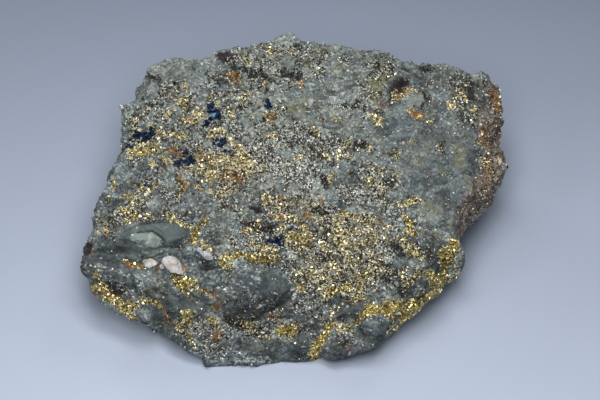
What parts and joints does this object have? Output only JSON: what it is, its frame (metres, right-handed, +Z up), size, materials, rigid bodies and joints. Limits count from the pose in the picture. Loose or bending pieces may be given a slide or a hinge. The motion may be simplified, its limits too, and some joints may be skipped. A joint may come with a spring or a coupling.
{
  "type": "chalcopyrite ore specimen",
  "caption": "Broken slab of green-grey chlorite schist studded with brassy chalcopyrite, with quartz nodules, that lies flat on its cleaved underside.",
  "frame": {"origin": "on the resting plane, under the middle of the specimen's box", "axes": "+X along the long side, -Y towards the broken front face with the ledges, +Z up through the ore-rich top face"},
  "size_m": [0.122, 0.0946, 0.0391],
  "materials": {
    "ore": "rough green-grey schist with metallic brass-yellow chalcopyrite grains"
  },
  "bodies": {
    "root": {"ore_slab": "ore"}
  },
  "joints": []
}
